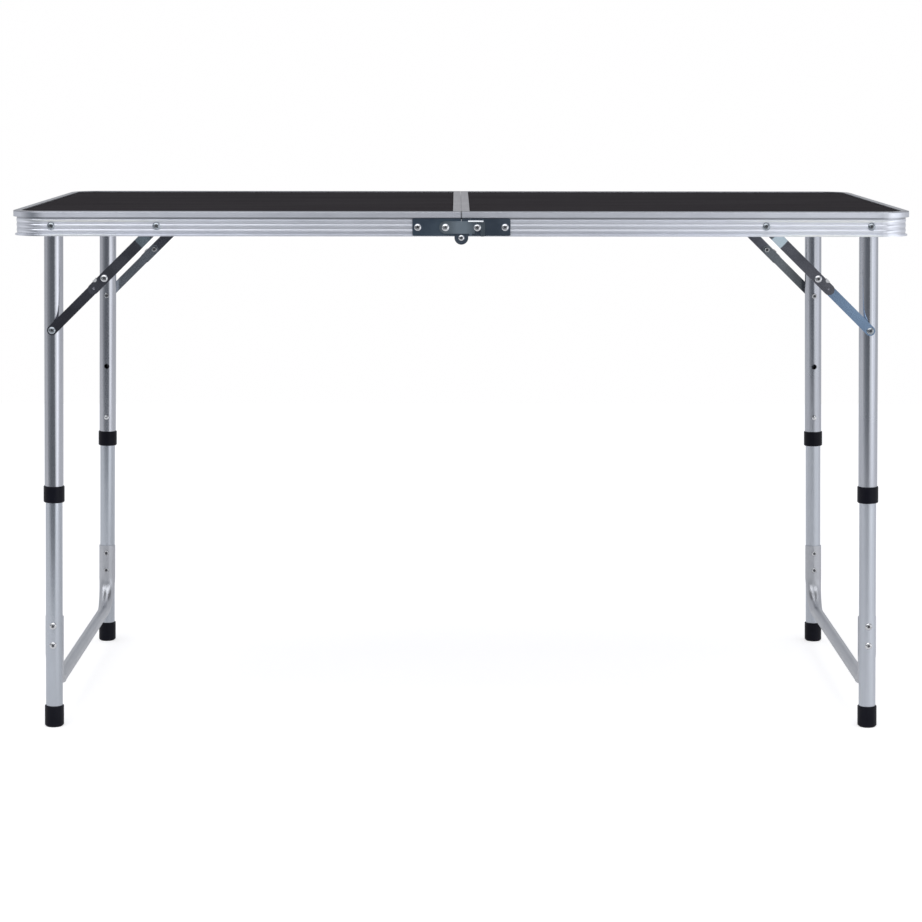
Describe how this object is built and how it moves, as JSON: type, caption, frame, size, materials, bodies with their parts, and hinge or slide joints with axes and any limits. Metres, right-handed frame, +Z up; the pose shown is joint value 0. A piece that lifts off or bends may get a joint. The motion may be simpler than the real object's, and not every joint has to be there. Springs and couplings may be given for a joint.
{
  "type": "folding table",
  "caption": "Suitcase-style folding table: black panels in ribbed aluminium rims, hinged at the middle, on splayed telescoping tube legs with crossbars, knuckle braces and hook latches.",
  "frame": {"origin": "on the floor, under the middle of the table top", "axes": "+X along the table to the right as seen from the front, +Y from front to back, +Z up"},
  "size_m": [1.2, 0.6126, 0.707],
  "materials": {
    "rim_aluminium": "drawn, satin",
    "panel_black": "black laminate on board",
    "strip_aluminium": "brushed",
    "hinge_steel": "zinc plated sheet",
    "latch_steel": "zinc plated sheet",
    "link_steel": "blue zinc plated",
    "rivet_steel": "bright",
    "pivot_steel": "dull",
    "leg_aluminium": "bright drawn tube",
    "lower_aluminium": "satin tube",
    "plastic_black": "moulded",
    "bush_plastic": "moulded",
    "spring_steel": "spring strip"
  },
  "bodies": {
    "left_top": {"left_rim": "rim_aluminium", "left_panel": "panel_black", "left_centre_strip": "strip_aluminium", "left_front_hinge_leaf": "hinge_steel", "left_rear_hinge_leaf": "hinge_steel", "left_hinge_rivets": "rivet_steel", "left_leg_pivot_rivets": "pivot_steel", "left_leg_spacers": "bush_plastic", "left_brace_pivot_rivets": "pivot_steel", "front_hinge_pin": "rivet_steel"},
    "right_top": {"right_rim": "rim_aluminium", "right_panel": "panel_black", "right_centre_strip": "strip_aluminium", "right_front_hinge_leaf": "hinge_steel", "right_rear_hinge_leaf": "hinge_steel", "right_hinge_rivets": "rivet_steel", "right_leg_pivot_rivets": "pivot_steel", "right_leg_spacers": "bush_plastic", "right_brace_pivot_rivets": "pivot_steel", "rear_hinge_pin": "rivet_steel"},
    "front_latch": {"front_latch": "latch_steel"},
    "rear_latch": {"rear_latch": "latch_steel"},
    "left_leg_upper": {"left_front_upper_tube": "leg_aluminium", "left_rear_upper_tube": "leg_aluminium", "left_front_collar": "plastic_black", "left_rear_collar": "plastic_black", "left_tube_plugs": "plastic_black", "left_brace_rivets": "rivet_steel"},
    "left_leg_lower": {"left_front_lower_tube": "lower_aluminium", "left_rear_lower_tube": "lower_aluminium", "left_crossbar": "lower_aluminium", "left_crossbar_rivets": "rivet_steel", "left_front_foot": "plastic_black", "left_rear_foot": "plastic_black"},
    "left_upper_links": {"left_upper_links": "link_steel", "left_elbow_rivets": "rivet_steel"},
    "left_lower_links": {"left_lower_links": "link_steel", "left_elbow_tails": "rivet_steel"},
    "left_front_spring_clip": {"left_front_spring_clip": "spring_steel"},
    "left_rear_spring_clip": {"left_rear_spring_clip": "spring_steel"},
    "right_leg_upper": {"right_front_upper_tube": "leg_aluminium", "right_rear_upper_tube": "leg_aluminium", "right_front_collar": "plastic_black", "right_rear_collar": "plastic_black", "right_tube_plugs": "plastic_black", "right_brace_rivets": "rivet_steel"},
    "right_leg_lower": {"right_front_lower_tube": "lower_aluminium", "right_rear_lower_tube": "lower_aluminium", "right_crossbar": "lower_aluminium", "right_crossbar_rivets": "rivet_steel", "right_front_foot": "plastic_black", "right_rear_foot": "plastic_black"},
    "right_upper_links": {"right_upper_links": "link_steel", "right_elbow_rivets": "rivet_steel"},
    "right_lower_links": {"right_lower_links": "link_steel", "right_elbow_tails": "rivet_steel"},
    "right_front_spring_clip": {"right_front_spring_clip": "spring_steel"},
    "right_rear_spring_clip": {"right_rear_spring_clip": "spring_steel"}
  },
  "joints": [
    {"name": "table_fold", "type": "hinge", "parent": "left_top", "child": "right_top", "pos_m": [0, 0, 0.6725], "axis": [0, 1, 0], "range_deg": [0, 75]},
    {"name": "front_latch_lift", "type": "hinge", "parent": "left_top", "child": "front_latch", "pos_m": [-0.0211, -0.3, 0.6862], "axis": [0, -1, 0], "range_deg": [0, 60.1]},
    {"name": "rear_latch_lift", "type": "hinge", "parent": "right_top", "child": "rear_latch", "pos_m": [0.0211, 0.3, 0.6862], "axis": [0, 1, 0], "range_deg": [0, 60.1]},
    {"name": "left_leg_fold", "type": "hinge", "parent": "left_top", "child": "left_leg_upper", "pos_m": [-0.545, 0, 0.6875], "axis": [0, -1, 0], "range_deg": [0, 91.2]},
    {"name": "left_height", "type": "slide", "parent": "left_leg_upper", "child": "left_leg_lower", "axis": [0.0209, 0, 0.9998], "range_m": [0, 0.15], "deforming": ["left_front_spring_clip", "left_rear_spring_clip"]},
    {"name": "left_upper_brace", "type": "hinge", "parent": "left_top", "child": "left_upper_links", "pos_m": [-0.405, 0, 0.6875], "axis": [0, 1, 0], "range_deg": [0, 44.5]},
    {"name": "left_lower_brace", "type": "hinge", "parent": "left_leg_upper", "child": "left_lower_links", "pos_m": [-0.54793, 0, 0.54753], "axis": [0, -1, 0], "range_deg": [0, 44.5]},
    {"name": "left_front_button_press", "type": "slide", "parent": "left_leg_lower", "child": "left_front_spring_clip", "axis": [0, -1, 0], "range_m": [0, 0.0042], "stiffness_N_per_m": 600, "deforming": ["left_front_spring_clip"]},
    {"name": "left_rear_button_press", "type": "slide", "parent": "left_leg_lower", "child": "left_rear_spring_clip", "axis": [0, 1, 0], "range_m": [0, 0.0042], "stiffness_N_per_m": 600, "deforming": ["left_rear_spring_clip"]},
    {"name": "right_leg_fold", "type": "hinge", "parent": "right_top", "child": "right_leg_upper", "pos_m": [0.545, 0, 0.6875], "axis": [0, 1, 0], "range_deg": [0, 91.2]},
    {"name": "right_height", "type": "slide", "parent": "right_leg_upper", "child": "right_leg_lower", "axis": [-0.0209, 0, 0.9998], "range_m": [0, 0.15], "deforming": ["right_front_spring_clip", "right_rear_spring_clip"]},
    {"name": "right_upper_brace", "type": "hinge", "parent": "right_top", "child": "right_upper_links", "pos_m": [0.405, 0, 0.6875], "axis": [0, -1, 0], "range_deg": [0, 44.5]},
    {"name": "right_lower_brace", "type": "hinge", "parent": "right_leg_upper", "child": "right_lower_links", "pos_m": [0.54793, 0, 0.54753], "axis": [0, 1, 0], "range_deg": [0, 44.5]},
    {"name": "right_front_button_press", "type": "slide", "parent": "right_leg_lower", "child": "right_front_spring_clip", "axis": [0, -1, 0], "range_m": [0, 0.0042], "stiffness_N_per_m": 600, "deforming": ["right_front_spring_clip"]},
    {"name": "right_rear_button_press", "type": "slide", "parent": "right_leg_lower", "child": "right_rear_spring_clip", "axis": [0, 1, 0], "range_m": [0, 0.0042], "stiffness_N_per_m": 600, "deforming": ["right_rear_spring_clip"]}
  ],
  "couplings": [
    {"joint": "front_latch_lift", "follows": "table_fold", "ratio": 0.8},
    {"joint": "rear_latch_lift", "follows": "table_fold", "ratio": 0.8},
    {"joint": "left_upper_brace", "follows": "left_leg_fold", "ratio": 0.48684},
    {"joint": "left_lower_brace", "follows": "left_leg_fold", "ratio": 0.48684},
    {"joint": "right_upper_brace", "follows": "right_leg_fold", "ratio": 0.48684},
    {"joint": "right_lower_brace", "follows": "right_leg_fold", "ratio": 0.48684}
  ]
}
